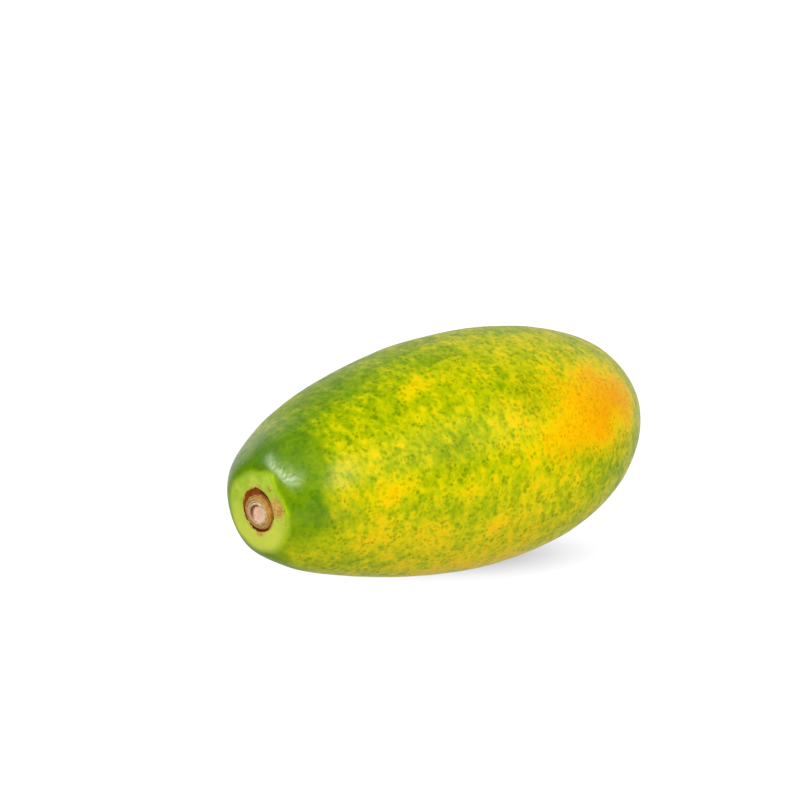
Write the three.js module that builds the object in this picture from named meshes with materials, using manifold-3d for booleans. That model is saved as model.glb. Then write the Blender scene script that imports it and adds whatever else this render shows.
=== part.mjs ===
// A ripening papaya lying on its side, grown as one piece and modelled as one solid.
// Millimetres, +Z up. The fruit's long axis runs along X with the stem end at -X. The origin is
// at the middle of the bounding box in X and Y, on the surface that the fruit rests on.
import * as THREE from 'three';
import { mergeVertices } from 'three/addons/utils/BufferGeometryUtils.js';
import Module from 'manifold-3d';

// Size of the whole fruit
const FRUIT_LENGTH = 261.3;
const GREATEST_RADIUS = 62;
const GREATEST_RADIUS_AT = 131.6;

// Stem end: an almost flat round plateau, then a full shoulder that swells to the belly
const PLATEAU_RADIUS = 17;
const PLATEAU_FALL = 0.6;
const SHOULDER_REACH_OUT = 21.1;
const SHOULDER_REACH_ALONG = 0.6;
const BELLY_REACH_TO_STEM = 46;

// Blossom end: a long taper closed by a blunt round end
const BELLY_REACH_TO_BLOSSOM = 95;
const BLOSSOM_END_REACH_OUT = 19.8;

// Blossom tip: the small knob left by the flower
const TIP_RADIUS = 5;
const TIP_HEIGHT = 2.2;

// Stem scar: radius and height over the plateau, from the middle outwards. A shallow pit, a
// ringed face with two low ridges, a bevel down into the crease, and the lip of the skin.
const STEM_SCAR_OUTLINE = [
  [0, 0.3],
  [2.2, 0.25],
  [3.8, 0.4],
  [4.8, 1.4],
  [5.6, 1.5],
  [6.4, 1.05],
  [7.3, 1.3],
  [8.3, 1.0],
  [10.2, -1.3],
  [10.9, -1.5],
  [11.7, -0.7],
  [12.6, -0.1],
];

// Cross-section: five low lobes, and a belly a little wider than it is high
const LOBE_COUNT = 5;
const LOBE_DEPTH = 0.009;
const SHOULDER_LOBE_DEPTH = 0.022;
const SHOULDER_LOBE_AT = 0.03;
const SHOULDER_LOBE_SPREAD = 0.05;
const WIDER_THAN_HIGH = 0.024;

// Growth: the middle line bows to one side at both ends and swings in a slow S between them
const SIDE_BOW = 4.2;
const SIDE_SWING = 14;

// Rest: the whole fruit leans a little on its belly, and its weight presses a small flat spot
const REST_LEAN = THREE.MathUtils.degToRad(-0.8);
const FLAT_SPOT_DEPTH = 0.6;

// Fineness of the faceted surface
const SEGMENTS_AROUND = 60;
const STEPS_ON_PLATEAU = 3;
const STEPS_TO_BELLY = 24;
const STEPS_TO_BLOSSOM = 26;
const STEPS_ON_TIP = 5;
const MERGE_DISTANCE = 1e-4;

const SKIN_COLOUR = 0x9fb914;

// The outline is drawn with the distance from the axis as x and the distance along it as y

function stemScarPoints() {
  return STEM_SCAR_OUTLINE.map(([radius, height]) => new THREE.Vector2(radius, -height));
}

function plateauPoints() {
  const [lipRadius, lipHeight] = STEM_SCAR_OUTLINE.at(-1);
  const lip = new THREE.Vector2(lipRadius, -lipHeight);
  const middle = new THREE.Vector2((lipRadius + PLATEAU_RADIUS) / 2, 0);
  const edge = new THREE.Vector2(PLATEAU_RADIUS, PLATEAU_FALL);
  return new THREE.QuadraticBezierCurve(lip, middle, edge).getPoints(STEPS_ON_PLATEAU);
}

function shoulderPoints() {
  const shoulder = new THREE.CubicBezierCurve(
    new THREE.Vector2(PLATEAU_RADIUS, PLATEAU_FALL),
    new THREE.Vector2(PLATEAU_RADIUS + SHOULDER_REACH_OUT, PLATEAU_FALL + SHOULDER_REACH_ALONG),
    new THREE.Vector2(GREATEST_RADIUS, GREATEST_RADIUS_AT - BELLY_REACH_TO_STEM),
    new THREE.Vector2(GREATEST_RADIUS, GREATEST_RADIUS_AT),
  );
  return shoulder.getSpacedPoints(STEPS_TO_BELLY);
}

function blossomEndPoints() {
  const taper = new THREE.CubicBezierCurve(
    new THREE.Vector2(GREATEST_RADIUS, GREATEST_RADIUS_AT),
    new THREE.Vector2(GREATEST_RADIUS, GREATEST_RADIUS_AT + BELLY_REACH_TO_BLOSSOM),
    new THREE.Vector2(BLOSSOM_END_REACH_OUT, FRUIT_LENGTH),
    new THREE.Vector2(0, FRUIT_LENGTH),
  );
  return taper.getSpacedPoints(STEPS_TO_BLOSSOM).filter((point) => point.x > TIP_RADIUS);
}

// A quarter wave from the foot of the knob up to its round top on the axis
function blossomTipPoints() {
  const points = [];
  for (let step = 0; step <= STEPS_ON_TIP; step += 1) {
    const turn = (step / STEPS_ON_TIP) * (Math.PI / 2);
    const radius = step === STEPS_ON_TIP ? 0 : TIP_RADIUS * Math.cos(turn);
    points.push(new THREE.Vector2(radius, FRUIT_LENGTH + TIP_HEIGHT * Math.sin(turn) ** 2));
  }
  return points;
}

function fruitOutline() {
  return [
    ...stemScarPoints(),
    ...plateauPoints().slice(1),
    ...shoulderPoints().slice(1),
    ...blossomEndPoints().slice(1),
    ...blossomTipPoints(),
  ];
}

// Share by which the radius grows or shrinks at a place along the fruit and an angle around it.
// The angle is measured from straight down, so that the fruit lies on a furrow between lobes.
function crossSection(along, angleFromBelow) {
  const nearShoulder = (along - SHOULDER_LOBE_AT) / SHOULDER_LOBE_SPREAD;
  const lobeDepth = LOBE_DEPTH * Math.sqrt(Math.sin(Math.PI * along))
    + SHOULDER_LOBE_DEPTH * Math.exp(-nearShoulder * nearShoulder) * Math.min(1, along / SHOULDER_LOBE_AT);
  const lobes = -lobeDepth * Math.cos(LOBE_COUNT * angleFromBelow);
  const oval = -WIDER_THAN_HIGH * Math.cos(2 * angleFromBelow);
  return 1 + lobes + oval;
}

// Turns the round lathed body into the grown one: lobes, oval section, bow and swing
function growBody(geometry) {
  const position = geometry.getAttribute('position');
  for (let index = 0; index < position.count; index += 1) {
    const distance = position.getX(index);
    const side = position.getY(index);
    const height = position.getZ(index);
    const along = THREE.MathUtils.clamp(distance / FRUIT_LENGTH, 0, 1);
    const fromMiddle = 2 * along - 1;
    const swell = crossSection(along, Math.atan2(side, -height));
    const drift = SIDE_BOW * fromMiddle ** 2 + SIDE_SWING * (fromMiddle ** 3 - fromMiddle);
    position.setXYZ(index, distance, side * swell + drift, height * swell);
  }
}

function papayaBody() {
  const geometry = new THREE.LatheGeometry(fruitOutline(), SEGMENTS_AROUND);
  geometry.rotateZ(-Math.PI / 2);
  growBody(geometry);
  geometry.translate(-FRUIT_LENGTH / 2, 0, 0);
  geometry.rotateY(REST_LEAN);
  return geometry;
}

function toSolid(wasm, geometry) {
  const bare = geometry.clone();
  bare.deleteAttribute('normal');
  bare.deleteAttribute('uv');
  const merged = mergeVertices(bare, MERGE_DISTANCE);
  return new wasm.Manifold(new wasm.Mesh({
    numProp: 3,
    vertProperties: new Float32Array(merged.getAttribute('position').array),
    triVerts: new Uint32Array(merged.getIndex().array),
  }));
}

function toGeometry(solid) {
  const mesh = solid.getMesh();
  const geometry = new THREE.BufferGeometry();
  geometry.setAttribute('position', new THREE.BufferAttribute(mesh.vertProperties, 3));
  geometry.setIndex(new THREE.BufferAttribute(mesh.triVerts, 1));
  geometry.computeVertexNormals();
  return geometry;
}

// Cuts the body level just above its lowest point, which leaves the flat spot that it rests on
function pressFlatSpot(wasm, body) {
  body.computeBoundingBox();
  const cutHeight = body.boundingBox.min.z + FLAT_SPOT_DEPTH;
  const slab = new THREE.BoxGeometry(FRUIT_LENGTH, FRUIT_LENGTH, FRUIT_LENGTH);
  slab.translate(0, 0, cutHeight - FRUIT_LENGTH / 2);
  return toGeometry(toSolid(wasm, body).subtract(toSolid(wasm, slab)));
}

function settleOnOrigin(geometry) {
  geometry.computeBoundingBox();
  const { min, max } = geometry.boundingBox;
  geometry.translate(-(min.x + max.x) / 2, -(min.y + max.y) / 2, -min.z);
}

const wasm = await Module();
wasm.setup();

const fruitGeometry = pressFlatSpot(wasm, papayaBody());
settleOnOrigin(fruitGeometry);

const skin = new THREE.MeshStandardMaterial({ color: SKIN_COLOUR, roughness: 0.42, metalness: 0 });
const fruit = new THREE.Mesh(fruitGeometry, skin);
fruit.name = 'fruit';

const papaya = new THREE.Group();
papaya.add(fruit);

export default papaya;
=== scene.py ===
import bpy
import numpy as np
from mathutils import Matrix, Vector


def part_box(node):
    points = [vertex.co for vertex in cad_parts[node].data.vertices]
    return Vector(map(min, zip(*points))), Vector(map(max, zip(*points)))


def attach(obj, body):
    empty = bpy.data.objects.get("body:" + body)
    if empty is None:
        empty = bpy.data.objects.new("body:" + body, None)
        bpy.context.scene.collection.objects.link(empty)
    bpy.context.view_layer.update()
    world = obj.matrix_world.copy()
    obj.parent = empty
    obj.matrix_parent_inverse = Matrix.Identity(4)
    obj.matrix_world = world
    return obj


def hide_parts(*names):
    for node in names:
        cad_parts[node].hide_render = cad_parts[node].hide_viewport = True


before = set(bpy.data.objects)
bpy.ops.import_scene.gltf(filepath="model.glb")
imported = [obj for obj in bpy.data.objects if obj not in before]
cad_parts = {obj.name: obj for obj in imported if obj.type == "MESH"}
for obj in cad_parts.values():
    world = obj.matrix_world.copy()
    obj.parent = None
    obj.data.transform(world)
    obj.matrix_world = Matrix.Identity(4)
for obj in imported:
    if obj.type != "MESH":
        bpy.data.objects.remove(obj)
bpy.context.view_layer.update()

MM = 0.001

# The fruit's form, in millimetres, as in the CAD model
FRUIT_LENGTH = 261.3
GREATEST_RADIUS = 62.0
GREATEST_RADIUS_AT = 131.6
PLATEAU_RADIUS = 17.0
PLATEAU_FALL = 0.6
SHOULDER_REACH_OUT = 21.1
SHOULDER_REACH_ALONG = 0.6
BELLY_REACH_TO_STEM = 46.0
BELLY_REACH_TO_BLOSSOM = 95.0
BLOSSOM_END_REACH_OUT = 19.8
TIP_RADIUS = 5.0
TIP_HEIGHT = 2.2
LOBE_COUNT = 5
LOBE_DEPTH = 0.009
SHOULDER_LOBE_DEPTH = 0.022
SHOULDER_LOBE_AT = 0.03
SHOULDER_LOBE_SPREAD = 0.05
WIDER_THAN_HIGH = 0.024
SIDE_BOW = 4.2
SIDE_SWING = 14.0
REST_LEAN = np.radians(-0.8)
FLAT_SPOT_DEPTH = 0.6

# The crease round the stem scar, a little off the fruit's axis and taller than wide, and the
# stub that stands low in it
CREASE_RADIUS = 9.2
CREASE_LIP_RADIUS = 10.9
CREASE_DEPTH = 2.1
SCAR_OFFSET = np.array([0, -1.25, 0.5])
SCAR_WIDTH = 0.965
SCAR_HEIGHT = 1.035
STUB_RADIUS = 9.4
STUB_FOOT = -2.6
STUB_OFFSET = np.array([0, 0.5, -1.3])
PIT_OFFSET = np.array([0, -0.6, -0.6])

# Fineness of the meshes
SKIN_RINGS = 246
SKIN_SEGMENTS = 390
STUB_RINGS = 120
STUB_SEGMENTS = 300
FOOT_RINGS = 8


# Numbers that vary smoothly over the surface

def smooth_step(low, high, values):
    """0 below low, 1 above high, and 3t^2 - 2t^3 of the share t between them."""
    share = np.clip((values - low) / (high - low), 0, 1)
    return share * share * (3 - 2 * share)


def ripple(points, wavelength, seed, waves=26):
    """Sum of cosine waves with random directions and phases, about -1 to 1.

    Each wave is cos(2 pi (direction . point) / length + phase), and its length is the given one
    or up to a third longer or shorter. Points and wavelength are in the same unit."""
    draw = np.random.default_rng(seed)
    total = np.zeros(points.shape[:-1])
    for _ in range(waves):
        direction = draw.normal(size=3)
        direction /= np.linalg.norm(direction)
        length = wavelength * draw.uniform(0.67, 1.33)
        phase = draw.uniform(0, 2 * np.pi)
        total += np.cos(2 * np.pi * (points @ direction) / length + phase)
    return total / np.sqrt(2 * waves)


def round_trip(size, angle, radius):
    """Places on a circle of a size, one for each angle, and the same for every radius. Ripples
    taken there change around the fruit only."""
    across, upward = size * np.cos(angle), size * np.sin(angle)
    return np.stack(np.broadcast_arrays(across, upward, 0 * radius), axis=-1)


def angle_apart(angle, other):
    """Difference of two angles in degrees, from -180 to 180."""
    return (angle - other + 180) % 360 - 180


# The form of the fruit

def cubic_curve(start, start_pull, end_pull, end, steps=400):
    """Cubic Bezier curve from start to end, drawn towards the two pulls, as rows of points."""
    t = np.linspace(0, 1, steps)[:, None]
    corners = [np.array(corner, float) for corner in (start, start_pull, end_pull, end)]
    weights = ((1 - t) ** 3, 3 * (1 - t) ** 2 * t, 3 * (1 - t) * t ** 2, t ** 3)
    return sum(weight * corner for weight, corner in zip(weights, corners))


def skin_outline():
    """Rows of (radius, distance from the stem end) along the skin, in millimetres.

    A flat floor under the stub, a smooth step up to the lip of the crease, a slightly domed
    plateau, one curve to the widest place, one to the blossom end, and a round knob."""
    floor = np.stack([np.linspace(0, CREASE_RADIUS, 60), np.full(60, CREASE_DEPTH)], axis=1)
    wall_radius = np.linspace(CREASE_RADIUS, CREASE_LIP_RADIUS, 80)
    wall_height = smooth_step(CREASE_RADIUS, CREASE_LIP_RADIUS, wall_radius)
    wall = np.stack([wall_radius, CREASE_DEPTH * (1 - wall_height)], axis=1)
    shoulder_pull = (PLATEAU_RADIUS + SHOULDER_REACH_OUT, PLATEAU_FALL + SHOULDER_REACH_ALONG)
    plateau = cubic_curve(
        (CREASE_LIP_RADIUS, 0), (CREASE_LIP_RADIUS + 1.5, 0),
        (PLATEAU_RADIUS - 1.5, PLATEAU_FALL - 0.1), (PLATEAU_RADIUS, PLATEAU_FALL), 60)
    belly = (GREATEST_RADIUS, GREATEST_RADIUS_AT)
    shoulder = cubic_curve(
        (PLATEAU_RADIUS, PLATEAU_FALL), shoulder_pull,
        (GREATEST_RADIUS, GREATEST_RADIUS_AT - BELLY_REACH_TO_STEM), belly)
    taper = cubic_curve(
        belly, (GREATEST_RADIUS, GREATEST_RADIUS_AT + BELLY_REACH_TO_BLOSSOM),
        (BLOSSOM_END_REACH_OUT, FRUIT_LENGTH), (0, FRUIT_LENGTH))
    taper = taper[taper[:, 0] > TIP_RADIUS]
    turn = np.linspace(0, np.pi / 2, 60)
    knob_end = FRUIT_LENGTH + TIP_HEIGHT * np.sin(turn) ** 2
    knob = np.stack([TIP_RADIUS * np.cos(turn), knob_end], axis=1)
    knob[-1, 0] = 0
    return np.concatenate([floor, wall[1:], plateau[1:], shoulder[1:], taper[1:], knob])


def spread_rings(outline, rings, fine_length, fine_share):
    """The outline at a number of rings: a share of them, evenly, on its first fine_length
    millimetres, and the rest evenly on what follows."""
    steps = np.linalg.norm(np.diff(outline, axis=0), axis=1)
    travelled = np.concatenate([[0], np.cumsum(steps)])
    fine_rings = int(rings * fine_share)
    fine = np.linspace(0, fine_length, fine_rings, endpoint=False)
    rest = np.linspace(fine_length, travelled[-1], rings - fine_rings)
    wanted = np.concatenate([fine, rest])
    return np.stack([np.interp(wanted, travelled, outline[:, axis]) for axis in (0, 1)], axis=1)


def grown_place(radius, distance, angle):
    """Where a point of the round fruit lies once it has grown, in millimetres from its middle.

    The radius is scaled by 1 - lobes cos(5 angle) - oval cos(2 angle), with the angle from
    straight down; the middle line drifts sideways by bow s^2 + swing (s^3 - s), where s runs
    from -1 at the stem end to 1 at the blossom end; and the whole leans a little at rest."""
    along = np.clip(distance / FRUIT_LENGTH, 0, 1)
    near_shoulder = (along - SHOULDER_LOBE_AT) / SHOULDER_LOBE_SPREAD
    shoulder_lobes = SHOULDER_LOBE_DEPTH * np.exp(-near_shoulder ** 2)
    lobes = (LOBE_DEPTH * np.sqrt(np.sin(np.pi * along))
             + shoulder_lobes * np.minimum(1, along / SHOULDER_LOBE_AT))
    swell = 1 - lobes * np.cos(LOBE_COUNT * angle) - WIDER_THAN_HIGH * np.cos(2 * angle)
    from_middle = 2 * along - 1
    drift = SIDE_BOW * from_middle ** 2 + SIDE_SWING * (from_middle ** 3 - from_middle)
    x = distance - FRUIT_LENGTH / 2
    y = radius * np.sin(angle) * swell + drift
    z = -radius * np.cos(angle) * swell
    leaning_x = x * np.cos(REST_LEAN) + z * np.sin(REST_LEAN)
    leaning_z = -x * np.sin(REST_LEAN) + z * np.cos(REST_LEAN)
    return np.stack(np.broadcast_arrays(leaning_x, y, leaning_z), axis=-1)


def outward(grid):
    """Unit normals of a closed grid of rings: across the rings crossed with around them."""
    around = np.roll(grid, -1, axis=1) - np.roll(grid, 1, axis=1)
    across = np.gradient(grid, axis=0)
    normal = np.cross(around, across)
    return normal / np.maximum(np.linalg.norm(normal, axis=-1, keepdims=True), 1e-9)


def settle(body_grid):
    """The shift, in millimetres, that puts a grid of the body on the CAD model's place.

    Its box is centred as the CAD box is, and its lowest point goes one flat spot's depth under
    the floor."""
    low, high = body_grid.min(axis=(0, 1)), body_grid.max(axis=(0, 1))
    cad_low, cad_high = (np.array(corner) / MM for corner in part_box("fruit"))
    middle = (cad_low + cad_high - low - high) / 2
    return np.array([middle[0], middle[1], -FLAT_SPOT_DEPTH - low[2]])


# Meshes from grids

def closed_mesh(name, grid, layers):
    """A closed mesh from rings of points: the first and last ring shrink to one point each.

    layers holds one number for each grid point under each name, kept as the mesh's attributes.
    The UV map runs once around and once from end to end, with its seam under the fruit."""
    rings, segments = grid.shape[:2]
    inner = grid[1:-1].reshape(-1, 3)
    points = np.concatenate([grid[:1, 0], inner, grid[-1:, 0]]) * MM
    count = rings - 2
    column = np.arange(segments)
    beside = (column + 1) % segments
    ring = np.arange(count - 1)[:, None] * segments + 1
    quads = np.stack([ring + column, ring + beside, ring + segments + beside,
                      ring + segments + column], axis=-1).reshape(-1, 4)
    last = 1 + (count - 1) * segments
    first_cap = np.stack([np.zeros(segments, int), 1 + beside, 1 + column], axis=-1)
    last_cap = np.stack([np.full(segments, len(points) - 1), last + column, last + beside], axis=-1)
    mesh = bpy.data.meshes.new(name)
    mesh.from_pydata(points, [], [*first_cap.tolist(), *quads.tolist(), *last_cap.tolist()])
    left = column / segments
    right = (column + 1) / segments
    height = np.linspace(0, 1, rings)
    low = np.repeat(height[1:-2], segments)
    high = np.repeat(height[2:-1], segments)
    lefts, rights = np.tile(left, count - 1), np.tile(right, count - 1)
    quad_uv = np.stack([lefts, low, rights, low, rights, high, lefts, high], axis=-1)
    middle = (left + right) / 2
    start, end = np.zeros(segments), np.ones(segments)
    after_start, before_end = start + height[1], start + height[-2]
    first_uv = np.stack([middle, start, right, after_start, left, after_start], axis=-1)
    last_uv = np.stack([middle, end, left, before_end, right, before_end], axis=-1)
    uv_map = mesh.uv_layers.new(name="OFBake")
    all_uv = np.concatenate([first_uv.ravel(), quad_uv.ravel(), last_uv.ravel()])
    uv_map.data.foreach_set("uv", all_uv)
    for layer, values in layers.items():
        flat = np.concatenate([values[:1, 0], values[1:-1].ravel(), values[-1:, 0]])
        attribute = mesh.attributes.new(layer, "FLOAT", "POINT")
        attribute.data.foreach_set("value", flat.astype(np.float32))
    mesh.polygons.foreach_set("use_smooth", np.ones(len(mesh.polygons), bool))
    mesh.update()
    piece = bpy.data.objects.new(name, mesh)
    bpy.context.collection.objects.link(piece)
    return piece


# Ripeness of the skin: 0 deep green, 0.5 yellow-green, 0.65 yellow, 1 deep orange.
# Patches: place along the fruit in mm, angle around it from below in degrees
# (negative on the side that faces the camera), half-length in mm, half-width in degrees, change.
RIPENESS_OF_SKIN = 0.50
GREEN_SHOULDER = -0.25
GREEN_SHOULDER_FROM = 4.0
GREEN_SHOULDER_TO = 32.0
RIPENESS_PATCHES = (
    ("yellow-green under the shoulder", 10, -54, 12, 32, 0.14),
    ("green over the top, by the stem", 46, 178, 44, 22, -0.22),
    ("yellow by the stem, high", 42, -125, 11, 7, 0.11),
    ("gold by the stem", 42, -101, 12, 8, 0.17),
    ("yellow by the stem, low", 38, -76, 13, 12, 0.17),
    ("deep green by the plateau", 14, -94, 10, 24, -0.09),
    ("green over the shoulder, high", 26, -148, 15, 22, -0.11),
    ("gold, low", 64, -68, 14, 9, 0.17),
    ("yellow high", 86, -153, 12, 5, 0.14),
    ("green under the high yellow", 80, -143, 20, 4, -0.07),
    ("green above the high yellow", 100, -165, 24, 6, -0.08),
    ("grey-green in the middle", 78, -115, 12, 9, -0.07),
    ("yellow in the middle", 86, -94, 14, 5, 0.11),
    ("green under the middle", 82, -79, 18, 4, -0.06),
    ("yellow in the middle, low", 110, -72, 13, 6, 0.13),
    ("golden belly", 104, -39, 38, 14, 0.20),
    ("gold between the middle and the belly", 132, -62, 26, 12, 0.09),
    ("yellow round the tail of the cheek", 138, -110, 18, 16, 0.07),
    ("yellow blob before the cheek", 121, -116, 7, 5, 0.11),
    ("yellow blob above it", 124, -127, 6, 4, 0.10),
    ("gold blob below it", 128, -104, 9, 6, 0.11),
    ("gold before the cheek, low", 142, -88, 16, 8, 0.06),
    ("green before the cheek, high", 130, -138, 18, 8, -0.06),
    ("green along the ridge", 120, 178, 60, 16, -0.05),
    ("orange middle of the cheek", 186, -114, 24, 12, 0.13),
    ("orange low in the cheek", 164, -104, 14, 6, 0.10),
    ("green under the cheek", 184, -74, 30, 9, -0.06),
    ("green behind the cheek", 232, -70, 26, 40, -0.08),
    ("green on the far side, by the stem", 40, 120, 46, 34, -0.12),
    ("yellow on the far side", 150, 112, 46, 30, 0.14),
    ("green stretch on the far side", 120, 150, 50, 12, -0.10),
    ("yellow on the far side, low", 92, 66, 30, 20, 0.12),
    ("yellow towards the blossom end", 216, 60, 26, 50, 0.10),
    ("yellow underneath", 140, 8, 70, 26, 0.12),
)

# The golden cheek: the same five numbers, for patches with a flat top and a steep edge
CHEEK_PATCHES = (
    ("golden cheek", 186, -119, 40, 24, 0.31),
    ("its tail towards the middle", 155, -107, 21, 11, 0.24),
)

# Where fine brown specks crowd and dull the skin: the same five numbers, and how much
DULL_PATCHES = (
    ("specks before the cheek", 142, -125, 15, 9, 0.9),
    ("specks above the cheek", 150, -134, 20, 6, 0.5),
    ("olive edge under the cheek", 184, -92, 24, 6, 1.0),
    ("olive under the tail of the cheek", 154, -98, 16, 5, 0.8),
    ("dull stretch under the middle", 128, -60, 30, 7, 0.5),
    ("grey cloud in the middle", 80, -113, 12, 8, 0.5),
    ("dull streak on the shoulder", 22, -96, 8, 10, 0.7),
    ("dull streak on the far side", 110, 130, 34, 8, 0.7),
    ("dull streak underneath", 150, 30, 40, 12, 0.5),
)


def laid_patches(patches, distance, degrees, join=np.add, steepness=1):
    """Patches joined by sum or by maximum, each one
    change exp(-(lengthwise^2 + sideways^2)^steepness)."""
    total = np.zeros(np.broadcast(distance, degrees).shape)
    for _, along, around, half_length, half_width, change in patches:
        lengthwise = (distance - along) / half_length
        sideways = angle_apart(degrees, around) / half_width
        total = join(total, change * np.exp(-(lengthwise ** 2 + sideways ** 2) ** steepness))
    return total


# Marks on the plateau round the stem scar: distance from the scar's middle in mm, angle from
# below in degrees, half-size outwards and half-size around in mm, and strength
CORK_MARKS = (
    ("corky scab", 14.4, -105, 4.0, 5.2, 1.3),
    ("end of the scab", 18.2, -101, 1.4, 1.4, 0.8),
    ("thin crust above the scab", 13.8, -122, 2.0, 3.0, 0.55),
    ("spot above", 15.5, -142, 2.0, 2.2, 0.8),
    ("crust over the scar", 12.6, -172, 1.2, 3.0, 0.6),
    ("small spot at the top", 14.2, 157, 1.2, 1.4, 0.65),
    ("crumbs under the scar", 12.0, -5, 1.4, 3.2, 1.0),
    ("halo of the speck on the left", 16.3, 113, 1.1, 1.0, 0.5),
    ("speck low on the right", 12.9, -80, 0.8, 0.8, 0.6),
    ("tan tinge on the edge of the plateau", 20.5, -84, 2.4, 5.0, 0.38),
)
RUST_MARKS = (
    ("crumb under the scar", 11.6, 4, 0.8, 1.2, 0.6),
    ("dark end of the scab", 19.0, -101, 0.7, 0.7, 0.62),
    ("speck on the left", 16.3, 113, 0.4, 0.4, 0.7),
)


def laid_marks(marks, radius, degrees):
    """Largest of Gaussian marks on the plateau, each strength exp(-outwards^2 - around^2)."""
    total = np.zeros(np.broadcast(radius, degrees).shape)
    for _, middle, around, half_out, half_around, strength in marks:
        outwards = (radius - middle) / half_out
        sideways = np.radians(angle_apart(degrees, around)) * middle / half_around
        total = np.maximum(total, strength * np.exp(-outwards ** 2 - sideways ** 2))
    return total


def scar_place(radius, angle):
    """How far a point near the stem scar moves, as the crease is oval and off the fruit's axis.
    It fades out over the plateau."""
    near = 1 - smooth_step(11.5, 18, radius)
    across = radius * np.sin(angle) * (SCAR_WIDTH - 1)
    upward = -radius * np.cos(angle) * (SCAR_HEIGHT - 1)
    return near[..., None] * (np.stack([0 * across, across, upward], -1) + SCAR_OFFSET)


def papaya_skin():
    """The skin as one closed surface, from the floor of the crease to the blossom tip.

    Each point is the grown place of (outline, angle), moved out along its normal by slow
    ripples, and kept above the floor."""
    outline = spread_rings(skin_outline(), SKIN_RINGS, fine_length=26, fine_share=0.26)
    angle = np.linspace(0, 2 * np.pi, SKIN_SEGMENTS, endpoint=False)[None, :]
    radius, distance = outline[:, :1], outline[:, 1:]
    degrees = np.degrees(angle)
    body = grown_place(radius, distance, angle)
    shift = settle(body)
    around_lip = round_trip(12, angle, radius)
    wobble = ripple(around_lip, 9, seed=8)
    slow_wobble = ripple(around_lip, 22, seed=12)
    nicks = ripple(around_lip, 3.6, seed=13)
    at_stem_end = distance < FRUIT_LENGTH / 2
    off_axis = smooth_step(12, 40, radius)
    relief = 0.22 * off_axis * ripple(body, 46, seed=1) + 0.07 * off_axis * ripple(body, 17, seed=2)
    near_lip = np.exp(-((radius - CREASE_LIP_RADIUS) / 1.6) ** 2) * at_stem_end
    cork_marks = laid_marks(CORK_MARKS, radius, degrees)
    past_lip = np.exp(-((radius - CREASE_LIP_RADIUS - 0.3) / 0.5) ** 2)
    fringe = past_lip * (0.6 + 0.3 * wobble + 0.2 * nicks)
    cork = np.maximum(cork_marks, fringe) * at_stem_end
    crust = 0.16 * cork_marks * at_stem_end * (1 + ripple(body, 1.6, seed=9))
    relief = relief + (0.12 * wobble + 0.08 * nicks) * near_lip + crust
    grid = body + outward(body) * relief[..., None] + shift
    grid += scar_place(radius, angle) * at_stem_end[..., None]
    grid[..., 2] = np.maximum(grid[..., 2], 0)

    ragged_distance = distance + 6.0 * ripple(body, 34, seed=3)
    ragged_degrees = degrees + 4.0 * ripple(body, 30, seed=4)
    shoulder = 1 - smooth_step(GREEN_SHOULDER_FROM, GREEN_SHOULDER_TO, ragged_distance)
    cheek = laid_patches(CHEEK_PATCHES, ragged_distance, ragged_degrees, np.maximum, 2)
    ripeness = (RIPENESS_OF_SKIN + GREEN_SHOULDER * shoulder + cheek
                + laid_patches(RIPENESS_PATCHES, ragged_distance, ragged_degrees))
    upper_corner = 3.6 * np.exp(-(angle_apart(degrees, -155) / 14) ** 2)
    beyond_plateau = radius + 0.7 * wobble + 0.9 * slow_wobble - 1.7 * np.cos(angle) - upper_corner
    above = 1 - smooth_step(0.3, 0.62, 0.5 + 0.5 * np.cos(angle))
    wax = smooth_step(1.5, 4, distance) * (1 - smooth_step(14, 40, distance)) * above
    plateau = (1 - smooth_step(17.0, 22.5, beyond_plateau)) * at_stem_end
    on_edge = np.exp(-((beyond_plateau - 20.2) / 1.3) ** 2) * at_stem_end
    edge = on_edge * smooth_step(-0.3, 0.8, np.cos(angle + np.radians(115)))
    # The crease is coloured dark brown below: in part the crease's own brown, in part painted shade
    # down in the hollow; the real dark marks are joined to it.
    crease = 1 - smooth_step(CREASE_LIP_RADIUS - 0.5, CREASE_LIP_RADIUS + 0.5,
                             radius + 0.25 * wobble + 0.25 * nicks)
    rust = np.maximum(crease, laid_marks(RUST_MARKS, radius, degrees)) * at_stem_end
    layers = {
        "ripeness": ripeness,
        "dull": np.clip(laid_patches(DULL_PATCHES, ragged_distance, ragged_degrees), 0, 1),
        "plateau": plateau,
        "plateau_edge": edge,
        "lower_half": 0.5 + 0.5 * np.cos(angle),
        "cork": cork,
        "rust": rust,
        # Painted light: share of the lit brown copy, highest on the crease's upper-left wall.
        "rust_lit": 0.5 + 0.5 * np.cos(angle - np.radians(127)),
        "wax": wax,
        "calm": shoulder,
        "blossom_tip": (1 - smooth_step(3.6, 7.5, radius + 0.6 * wobble)) * (1 - at_stem_end),
    }
    layers = {name: np.broadcast_to(values, relief.shape) for name, values in layers.items()}
    return closed_mesh("papaya_skin", grid, layers), shift


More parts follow.
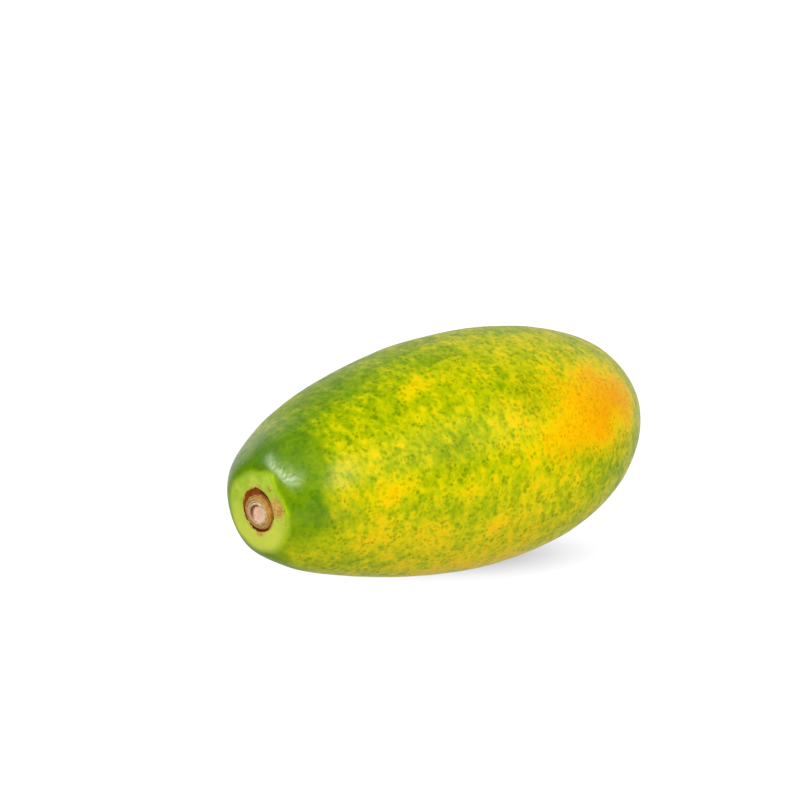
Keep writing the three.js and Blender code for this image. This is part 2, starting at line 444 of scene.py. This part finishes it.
def stem_scar(shift):
    """The ringed stub in the crease, one closed body: a round pit a little below the middle,
    low broken ridges, a bevel, and a side wall that runs down under the floor of the crease.

    Its height over the plateau is a function of the radius, read from the outline listed
    below, plus ripples that grow towards the rim."""
    radii = np.array([0, 2.8, 4.2, 4.6, 5.0, 5.5, 6.0, 6.4,
                      6.9, 7.3, 7.8, 8.2, 8.7, 9.1, STUB_RADIUS])
    heights = np.array([-0.5, -0.4, -0.2, 0.7, 0.9, 0.5, 0.8, 0.35,
                        0.6, 0.15, 0.35, 0.0, -0.6, -1.6, STUB_FOOT])
    travelled = np.concatenate([[0], np.cumsum(np.hypot(np.diff(radii), np.diff(heights)))])
    wanted = np.linspace(0, travelled[-1], STUB_RINGS - FOOT_RINGS)
    top_radius, top_height = (np.interp(wanted, travelled, values) for values in (radii, heights))
    foot_radius = np.linspace(STUB_RADIUS, 0, FOOT_RINGS + 1)[1:]
    radius = np.concatenate([top_radius, foot_radius])[:, None]
    height = np.concatenate([top_height, np.full(FOOT_RINGS, STUB_FOOT)])[:, None]
    angle = np.linspace(0, 2 * np.pi, STUB_SEGMENTS, endpoint=False)[None, :]
    uneven = 1 + 0.02 * ripple(round_trip(10, angle, radius), 9, seed=23)
    body = grown_place(radius * uneven, -height + 0 * angle, angle)
    on_top = smooth_step(STUB_FOOT, 0, height)
    in_pit = 1 - smooth_step(4.2, 7.4, radius)
    rough = 0.09 * ripple(body, 2.0, seed=21) + 0.16 * ripple(body, 6, seed=22)
    broken = 0.26 * ripple(body, 2.8, seed=24) * smooth_step(4.4, 5.4, radius)
    grid = body + shift + SCAR_OFFSET + STUB_OFFSET + (in_pit * on_top)[..., None] * PIT_OFFSET
    grid[..., 0] -= (rough * smooth_step(0, 4, radius) + broken) * on_top
    layers = {
        "ring": np.broadcast_to(radius, grid.shape[:2]),
        # painted shade on the upper-left wall of the pit
        "pit_shade": (1 - smooth_step(4.5, 5.2, radius)) * smooth_step(2.8, 4.4, radius)
        * smooth_step(-0.1, 0.9, np.cos(angle - np.radians(125))),
        "ochre_side": np.broadcast_to(0.5 + 0.5 * np.cos(angle + np.radians(100)), grid.shape[:2]),
    }
    turned_layers = {name: values[::-1] for name, values in layers.items()}
    return closed_mesh("stem_scar", grid[::-1], turned_layers)


# Shader arithmetic

class Term:
    """A number, colour or vector that varies over a surface, usable in Python expressions."""

    def __init__(self, recipe, socket):
        self.recipe = recipe
        self.socket = socket

    def __add__(self, other):
        return self.recipe.math("ADD", self, other)

    def __sub__(self, other):
        return self.recipe.math("SUBTRACT", self, other)

    def __rsub__(self, other):
        return self.recipe.math("SUBTRACT", other, self)

    def __mul__(self, other):
        return self.recipe.math("MULTIPLY", self, other)

    def __truediv__(self, other):
        return self.recipe.math("DIVIDE", self, other)

    __radd__ = __add__
    __rmul__ = __mul__


class Recipe:
    """The nodes of one material."""

    def __init__(self, name):
        self.material = bpy.data.materials.new(name)
        self.material.use_nodes = True
        self.tree = self.material.node_tree
        self.tree.nodes.clear()
        self.surface = self.node("ShaderNodeBsdfPrincipled", {}, {})
        output = self.node("ShaderNodeOutputMaterial", {}, {})
        self.tree.links.new(self.surface.outputs["BSDF"], output.inputs["Surface"])
        self.place = self.out(self.node("ShaderNodeTexCoord", {}, {}), "Object")

    def node(self, kind, settings, sockets):
        """A node of a kind, its settings first, then a value or a Term for each socket."""
        node = self.tree.nodes.new(kind)
        for setting, value in settings.items():
            if setting == "stops":
                self.set_stops(node.color_ramp.elements, value)
            else:
                setattr(node, setting, value)
        for socket, value in sockets.items():
            self.feed(node, socket, value)
        return node

    def set_stops(self, elements, stops):
        while len(elements) < len(stops):
            elements.new(1.0)
        for element, (position, colour) in zip(elements, stops):
            element.position = position
            element.color = colour

    def feed(self, node, socket, value):
        if isinstance(value, Term):
            self.tree.links.new(value.socket, node.inputs[socket])
        else:
            node.inputs[socket].default_value = value

    def out(self, node, name):
        return Term(self, node.outputs[name])

    def math(self, operation, *values):
        sockets = dict(enumerate(values))
        return self.out(self.node("ShaderNodeMath", {"operation": operation}, sockets), "Value")

    def step(self, low, high, value):
        """Smooth step of a Term, 0 below low and 1 above high."""
        sockets = {"Value": value, "From Min": low, "From Max": high}
        node = self.node("ShaderNodeMapRange", {"interpolation_type": "SMOOTHSTEP"}, sockets)
        return self.out(node, "Result")

    def layer(self, name):
        return self.out(self.node("ShaderNodeAttribute", {"attribute_name": name}, {}), "Fac")

    def blend(self, amount, under, over):
        """Colour under where amount is 0 and over where it is 1."""
        sockets = {0: amount, 6: under, 7: over}
        node = self.node("ShaderNodeMix", {"data_type": "RGBA", "clamp_factor": True}, sockets)
        return self.out(node, 2)

    def along(self, direction):
        """How far the place lies in a direction, in metres."""
        sockets = {0: self.place, 1: direction}
        node = self.node("ShaderNodeVectorMath", {"operation": "DOT_PRODUCT"}, sockets)
        return self.out(node, "Value")

    def scaled(self, place, scale):
        """A place with its three axes scaled."""
        node = self.node("ShaderNodeMapping", {}, {"Vector": place, "Scale": scale})
        return self.out(node, "Vector")

    def stretched(self, scale):
        """The place on the piece with its three axes scaled."""
        return self.scaled(self.place, scale)

    def unwrapped(self, scale):
        """The place on the piece's own UV map, around it and along it, with its axes scaled."""
        uv = self.out(self.node("ShaderNodeUVMap", {"uv_map": "OFBake"}, {}), "UV")
        return self.scaled(uv, scale)

    def wandering(self, place, size, reach):
        """A place that wanders by up to reach metres, over stretches of about size metres."""
        noise = self.node("ShaderNodeTexNoise", {},
                          {"Vector": place, "Scale": 1 / size, "Detail": 1.0})
        sockets = {0: self.out(noise, "Color"), 1: (2 * reach,) * 3, 2: place}
        node = self.node("ShaderNodeVectorMath", {"operation": "MULTIPLY_ADD"}, sockets)
        return self.out(node, "Vector")

    def noise(self, place, size, detail=2.0, roughness=0.5, distortion=0.0):
        """Cloudy noise, 0 to 1, whose features are about size metres across."""
        sockets = {"Vector": place, "Scale": 1 / size, "Detail": detail,
                   "Roughness": roughness, "Distortion": distortion}
        return self.out(self.node("ShaderNodeTexNoise", {}, sockets), "Fac")

    def cells(self, place, size, output):
        """Random cells about size metres apart: Distance to the centre, or the cell's own Color."""
        sockets = {"Vector": place, "Scale": 1 / size}
        return self.out(self.node("ShaderNodeTexVoronoi", {"feature": "F1"}, sockets), output)

    def dots(self, place, spacing, least, most):
        """Soft round dots, 1 in their middles, one in each cell, with radii from least to most
        in shares of the spacing."""
        own_size = self.step(0.2, 0.8, self.cells(place, spacing, "Color"))
        edge = least + (most - least) * own_size
        return 1 - self.step(0.05, 1.05, self.cells(place, spacing, "Distance") / edge)

    def ramp(self, amount, stops):
        return self.out(self.node("ShaderNodeValToRGB", {"stops": stops}, {"Fac": amount}), "Color")

    def bump(self, height, distance, normal=None):
        """Bump from a height of 0 to 1, which is distance metres at its highest."""
        sockets = {"Height": height, "Distance": distance}
        if normal is not None:
            sockets["Normal"] = normal
        return self.out(self.node("ShaderNodeBump", {}, sockets), "Normal")

    def finish(self, sockets):
        for socket, value in sockets.items():
            self.feed(self.surface, socket, value)
        return self.material


def screen_colour(red, green, blue):
    """A colour as seen on a screen, 0 to 255 each, as the light it stands for."""
    share = np.array([red, green, blue]) / 255
    light = np.where(share <= 0.04045, share / 12.92, ((share + 0.055) / 1.055) ** 2.4)
    return (*light.tolist(), 1.0)


# Materials

RIPENING = (
    (0.0, screen_colour(58, 104, 0)),
    (0.2, screen_colour(96, 144, 0)),
    (0.36, screen_colour(142, 170, 0)),
    (0.48, screen_colour(186, 196, 0)),
    (0.6, screen_colour(226, 210, 0)),
    (0.72, screen_colour(248, 210, 0)),
    (0.84, screen_colour(255, 196, 0)),
    (1.0, screen_colour(255, 168, 0)),
)
OLIVE_SPECK = screen_colour(104, 120, 0)
BROWN_SPECK = screen_colour(152, 108, 0)
PALE_LIME = screen_colour(204, 220, 80)
FRESH_LIME = screen_colour(180, 210, 62)
PALE_YELLOW = screen_colour(230, 236, 92)
BRIGHT_LIME = screen_colour(184, 216, 2)
CORK = screen_colour(222, 164, 98)
DARK_CORK = screen_colour(176, 104, 48)
# Dark brown for the dried marks and, in the crease, painted shade; the lit copy after it is painted
# light on the crease's upper-left wall.
DARK_RUST_AND_SHADE = screen_colour(96, 44, 16)
LIT_RUST = screen_colour(158, 82, 28)
DRY_TIP = screen_colour(120, 92, 44)
BLACK = screen_colour(0, 0, 0)
WHITE = screen_colour(255, 255, 255)


def skin_colour(recipe):
    """Ripeness, with clouds, mottles and freckles taken from it, picks the colour."""
    drawn_round = recipe.stretched((1.15, 0.8, 0.8))
    winding = recipe.wandering(recipe.place, 0.0034, 0.0008)
    clouds = recipe.noise(drawn_round, 0.012, detail=2.0, roughness=0.55, distortion=0.3)
    mottles = recipe.noise(drawn_round, 0.0044, detail=2.0, roughness=0.5, distortion=0.2)
    grain = recipe.noise(recipe.place, 0.0016, detail=1.0)
    crowd = recipe.step(0.34, 0.62, recipe.noise(recipe.place, 0.006, detail=2.0))
    clusters = recipe.step(0.5, 0.68, recipe.noise(winding, 0.0026, detail=1.0))
    dots = recipe.dots(winding, 0.0023, 0.28, 0.74) * (0.3 + 0.7 * crowd)
    freckles = recipe.math("MAXIMUM", dots, 0.5 * clusters * (0.2 + 0.8 * crowd))
    ripeness = recipe.layer("ripeness")
    dull = recipe.layer("dull")
    ripe = recipe.step(0.62, 0.84, ripeness)
    ripest = recipe.step(0.84, 1.0, ripeness)
    fine_crowd = recipe.math("MAXIMUM", dull, 0.8 * ripe * (1 - 0.8 * ripest)) * (0.3 + 0.7 * crowd)
    specks = recipe.dots(winding, 0.0017, 0.28, 0.78) * fine_crowd
    off_plateau = 1 - recipe.layer("plateau")
    lively = 1 - 0.6 * recipe.layer("calm")
    change = (0.36 * (clouds - 0.5) + 0.48 * (mottles - 0.5)) * lively * (1 - 0.5 * ripe)
    mottled = ripeness + change + (0.08 + 0.14 * ripe) * (grain - 0.5)
    freckled = mottled + 0.02 - 0.09 * freckles * (1 - ripe) * off_plateau
    colour = recipe.ramp(freckled, RIPENING)
    strength = 0.64 * freckles * lively * off_plateau * (1 - 0.8 * ripe)
    olive = recipe.blend(strength, colour, OLIVE_SPECK)
    dulled = recipe.blend(0.16 * dull * off_plateau, olive, OLIVE_SPECK)
    return recipe.blend(0.7 * specks * off_plateau, dulled, BROWN_SPECK)


def skin_material():
    """Ripening skin, with the pale plateau, cork, dark marks and the crease's painted shade and
    painted light round the stem scar laid over it.
    """
    recipe = Recipe("papaya_skin")
    blotches = recipe.noise(recipe.place, 0.0042, detail=3.0, roughness=0.66)
    crumbs = recipe.noise(recipe.place, 0.0011, detail=3.0, roughness=0.65)
    streaks = recipe.noise(recipe.unwrapped((1.0, 0.35, 1.0)), 0.003, detail=2.0)
    lime = recipe.blend(recipe.step(0.4, 0.6, blotches), PALE_LIME, FRESH_LIME)
    low_down = recipe.step(0.35, 0.95, recipe.layer("lower_half"))
    pale = recipe.blend(0.8 * low_down, lime, PALE_YELLOW)
    colour = recipe.blend(0.86 * recipe.layer("plateau"), skin_colour(recipe), pale)
    edge = recipe.layer("plateau_edge") * (0.1 + 0.8 * recipe.step(0.3, 0.7, blotches))
    colour = recipe.blend(edge, colour, BRIGHT_LIME)
    cork = recipe.step(0.16, 0.86, recipe.layer("cork") + 0.8 * (crumbs - 0.5))
    cork_colour = recipe.blend(recipe.step(0.45, 0.62, crumbs), CORK, DARK_CORK)
    colour = recipe.blend(0.8 * cork, colour, cork_colour)
    # The crease's dark brown is in part painted shade, and the real dark marks share it.
    rust = recipe.step(0.35, 0.65, recipe.layer("rust") + 0.5 * (crumbs - 0.5))
    # Painted light: the crease's upper-left wall, which faces the lamps, gets the lit copy of the
    # brown.
    lit = recipe.step(0.5, 1.0, recipe.layer("rust_lit") + 0.9 * (blotches - 0.5))
    colour = recipe.blend(rust, colour, recipe.blend(lit, DARK_RUST_AND_SHADE, LIT_RUST))
    tip = recipe.step(0.3, 0.7, recipe.layer("blossom_tip") + 0.6 * (crumbs - 0.5))
    colour = recipe.blend(0.9 * tip, colour, DRY_TIP)
    rough_marks = recipe.math("MAXIMUM", recipe.math("MAXIMUM", cork, rust), tip)
    pores = recipe.noise(recipe.place, 0.0016, detail=2.0, roughness=0.6)
    dimples = recipe.noise(recipe.place, 0.0055, detail=1.0)
    fine = recipe.bump(pores, 0.00016, recipe.bump(dimples, 0.00025))
    dullness = recipe.noise(recipe.place, 0.005, detail=3.0)
    return recipe.finish({
        "Base Color": colour,
        "Roughness": 0.26 + 0.14 * dullness + 0.4 * rough_marks,
        "Normal": recipe.bump(crumbs * rough_marks, 0.00025, fine),
        "Specular IOR Level": 0.14,
        "Specular Tint": (1.0, 1.0, 0.5, 1.0),
        "Coat Weight": recipe.layer("wax") * (0.2 + 0.8 * recipe.step(0.4, 0.6, streaks)),
        "Coat Roughness": 0.25,
        "Coat IOR": 2.0,
    })


def stem_scar_material():
    """Dry stem wood: pinkish pit with painted shade on its upper wall, cream and tan rings, ochre
    bevel on one side, and dark brown at the foot, part of it painted shade of the crease."""
    recipe = Recipe("stem_scar")
    fibres = recipe.noise(recipe.place, 0.0009, detail=4.0, roughness=0.7)
    patches = recipe.noise(recipe.place, 0.0030, detail=3.0, roughness=0.6)
    ring = recipe.layer("ring") + 1.5 * (patches - 0.5) + 0.6 * (fibres - 0.5)
    # Ring colours from the pit out to the foot; the darkest browns at the foot, down in the crease,
    # are in part painted shade.
    stops = (
        (0.0, screen_colour(246, 196, 166)), (0.44, screen_colour(248, 210, 180)),
        (0.49, screen_colour(196, 142, 104)), (0.54, screen_colour(248, 226, 188)),
        (0.60, screen_colour(160, 122, 72)), (0.65, screen_colour(236, 210, 150)),
        (0.71, screen_colour(122, 88, 42)), (0.76, screen_colour(232, 198, 122)),
        (0.80, screen_colour(150, 104, 46)), (0.83, screen_colour(226, 178, 98)),
        (0.86, screen_colour(158, 104, 44)), (0.90, screen_colour(210, 152, 72)),
        (0.94, screen_colour(132, 72, 28)), (1.0, screen_colour(88, 40, 14)))
    colour = recipe.ramp(ring / STUB_RADIUS, stops)
    on_bevel = recipe.step(0.6, 0.8, recipe.layer("ring") / STUB_RADIUS)
    ochre = recipe.layer("ochre_side") * on_bevel * (0.4 + 0.6 * fibres)
    colour = recipe.blend(0.5 * ochre, colour, screen_colour(190, 128, 46))
    # Painted shade: brown on the upper-left wall of the pit.
    colour = recipe.blend(recipe.layer("pit_shade"), colour, screen_colour(136, 74, 42))
    colour = recipe.blend(0.45 * recipe.step(0.5, 0.68, fibres), colour, screen_colour(122, 92, 60))
    return recipe.finish({
        "Base Color": colour,
        "Roughness": 0.62 + 0.2 * fibres,
        "Normal": recipe.bump(fibres, 0.00025),
        "Specular IOR Level": 0.3,
    })


# The studio: azimuths in degrees from the camera's side, growing to the right of the picture

VIEW_TURN = np.radians(46.1)
VIEW_HEIGHT = np.radians(17.0)
VIEW_DISTANCE = 1.3
VIEW_TARGET_HEIGHT = 0.0595
VIEW_REACH = 120
PICTURE_SIDE = 800
FOCAL_LENGTH = 2530
FRUIT_ACROSS = 453.7
FRUIT_DOWN = 450.6
SENSOR = 36.0
LAMP_DISTANCE = 1.5


def toward(azimuth, elevation):
    """Unit vector from the fruit towards an azimuth and an elevation in degrees."""
    turn = np.radians(azimuth) - VIEW_TURN
    height = np.radians(elevation)
    return Vector((np.sin(turn) * np.cos(height), -np.cos(turn) * np.cos(height), np.sin(height)))


def camera():
    """A long lens at the photograph's angle, shifted so that the fruit's middle falls where the
    photograph has it (FRUIT_ACROSS, FRUIT_DOWN of PICTURE_SIDE pixels)."""
    data = bpy.data.cameras.new("camera")
    data.sensor_width = SENSOR
    data.lens = FOCAL_LENGTH * SENSOR / PICTURE_SIDE
    data.shift_x = (PICTURE_SIDE / 2 - FRUIT_ACROSS) / PICTURE_SIDE
    data.shift_y = (FRUIT_DOWN - PICTURE_SIDE / 2) / PICTURE_SIDE
    data.clip_end = VIEW_REACH
    view = bpy.data.objects.new("camera", data)
    back = toward(0, np.degrees(VIEW_HEIGHT))
    view.location = Vector((0, 0, VIEW_TARGET_HEIGHT)) + VIEW_DISTANCE * back
    view.rotation_euler = back.to_track_quat("Z", "Y").to_euler()
    bpy.context.collection.objects.link(view)
    bpy.context.scene.camera = view


def soft_box(name, azimuth, elevation, width, height, power, distance=LAMP_DISTANCE,
             shadow=True, gloss=True):
    """A rectangular area light that looks at the fruit, with or without a shadow and a
    reflection."""
    back = toward(azimuth, elevation)
    data = bpy.data.lights.new(name, "AREA")
    data.shape = "RECTANGLE"
    data.size = width
    data.size_y = height
    data.energy = power
    data.use_shadow = shadow
    light = bpy.data.objects.new(name, data)
    light.visible_glossy = gloss
    light.location = Vector((0, 0, VIEW_TARGET_HEIGHT)) + distance * back
    light.rotation_euler = back.to_track_quat("Z", "Y").to_euler()
    bpy.context.collection.objects.link(light)


# White paper: how much of the light it throws back, and its own glow near the fruit and far
# from it, where the lamps don't reach
FLOOR_HALF_SIZE = 40.0
FLOOR_WHITE = (0.3, 0.3, 0.3, 1)
NEAR_GLOW = 0.85
FAR_GLOW = 1.0

# The soft shadow painted into the paper's glow where the fruit touches it: how dark it is, its
# middle to the right of the fruit's middle and behind it, and its half-sizes across the picture and
# into it
CONTACT_SHADE = 1.8
CONTACT_RIGHT = -0.010
CONTACT_BEHIND = 0.0135
CONTACT_HALF_WIDTH = 0.050
CONTACT_HALF_DEPTH = 0.027


def floor():
    half = FLOOR_HALF_SIZE
    mesh = bpy.data.meshes.new("floor")
    mesh.from_pydata([(-half, -half, 0), (half, -half, 0), (half, half, 0), (-half, half, 0)], [],
                     [(0, 1, 2, 3)])
    sheet = bpy.data.objects.new("floor", mesh)
    sheet.visible_glossy = False
    sheet.visible_diffuse = False
    bpy.context.collection.objects.link(sheet)
    recipe = Recipe("floor")
    from_fruit = recipe.node("ShaderNodeVectorMath", {"operation": "LENGTH"}, {0: recipe.place})
    far = recipe.step(0.2, 0.7, recipe.out(from_fruit, "Value"))
    across = (recipe.along(toward(90, 0)) - CONTACT_RIGHT) / CONTACT_HALF_WIDTH
    into = (recipe.along(toward(180, 0)) - CONTACT_BEHIND) / CONTACT_HALF_DEPTH
    # painted contact shadow: the glow is taken down near the fruit
    contact = recipe.math("EXPONENT", -1 * (across * across + into * into))
    glow = NEAR_GLOW + (FAR_GLOW - NEAR_GLOW) * far
    shaded_glow = glow * recipe.math("EXPONENT", -CONTACT_SHADE * contact)
    mesh.materials.append(recipe.finish({
        "Base Color": FLOOR_WHITE, "Roughness": 0.9, "Specular IOR Level": 0.0,
        "Emission Color": recipe.blend(shaded_glow, BLACK, WHITE), "Emission Strength": 1.0}))


# White panels round the fruit: azimuth, elevation, half-angle of the full and of the whole
# glow in degrees, and brightness
PANELS = (
    ("foot of the tall box on the right", 51, 28, 3, 9, 1.6),
    ("middle of the tall box", 51, 40, 3, 9, 1.6),
    ("top of the tall box", 51, 52, 3, 9, 1.6),
    ("wall behind", 180, 10, 20, 66, 0.6),
    ("light from the paper", 0, -90, 70, 92, 0.2),
)


def studio_air():
    """Dark air with wide soft white panels in it, each fading out by a smooth step of the
    cosine between the direction and the panel's middle."""
    world = bpy.data.worlds.new("studio")
    bpy.context.scene.world = world
    world.use_nodes = True
    tree = world.node_tree
    direction = tree.nodes.new("ShaderNodeTexCoord").outputs["Generated"]
    total = None
    for _, azimuth, elevation, full, whole, brightness in PANELS:
        facing = tree.nodes.new("ShaderNodeVectorMath")
        facing.operation = "DOT_PRODUCT"
        tree.links.new(direction, facing.inputs[0])
        facing.inputs[1].default_value = toward(azimuth, elevation)
        glow = tree.nodes.new("ShaderNodeMapRange")
        glow.interpolation_type = "SMOOTHSTEP"
        tree.links.new(facing.outputs["Value"], glow.inputs["Value"])
        glow.inputs["From Min"].default_value = np.cos(np.radians(whole))
        glow.inputs["From Max"].default_value = np.cos(np.radians(full))
        glow.inputs["To Max"].default_value = brightness
        if total is None:
            total = glow.outputs["Result"]
        else:
            both = tree.nodes.new("ShaderNodeMath")
            tree.links.new(total, both.inputs[0])
            tree.links.new(glow.outputs["Result"], both.inputs[1])
            total = both.outputs["Value"]
    tree.links.new(total, tree.nodes["Background"].inputs["Strength"])
    tree.nodes["Background"].inputs["Color"].default_value = (1, 1, 1, 1)


camera()
floor()
studio_air()
soft_box("key", azimuth=-88, elevation=43, width=1.7, height=1.3, power=6, gloss=False)
soft_box("left box", azimuth=-77, elevation=47, width=0.52, height=0.34, power=2.6, shadow=False)
soft_box("middle box", azimuth=-52, elevation=49, width=0.44, height=0.36, power=1.9,
         shadow=False)
soft_box("front box", azimuth=-27, elevation=49, width=0.5, height=0.44, power=3.9)
soft_box("right filler", azimuth=60, elevation=34, width=1.0, height=1.0, power=13.5,
         shadow=False, gloss=False)
soft_box("front filler", azimuth=14, elevation=6, width=0.6, height=0.1, power=6,
         shadow=False, gloss=False)
soft_box("filler for the stem end", azimuth=-62, elevation=2, width=0.8, height=0.4, power=4.6,
         shadow=False, gloss=False)
soft_box("filler under the paper", azimuth=20, elevation=-66, width=3.0, height=3.0, power=17,
         distance=1.2, shadow=False, gloss=False)

bpy.context.scene.view_settings.view_transform = "Standard"

skin, skin_shift = papaya_skin()
skin.data.materials.append(skin_material())
skin.visible_diffuse = False
scar = stem_scar(skin_shift)
scar.data.materials.append(stem_scar_material())
for piece in (skin, scar):
    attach(piece, "root")
    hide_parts("fruit")
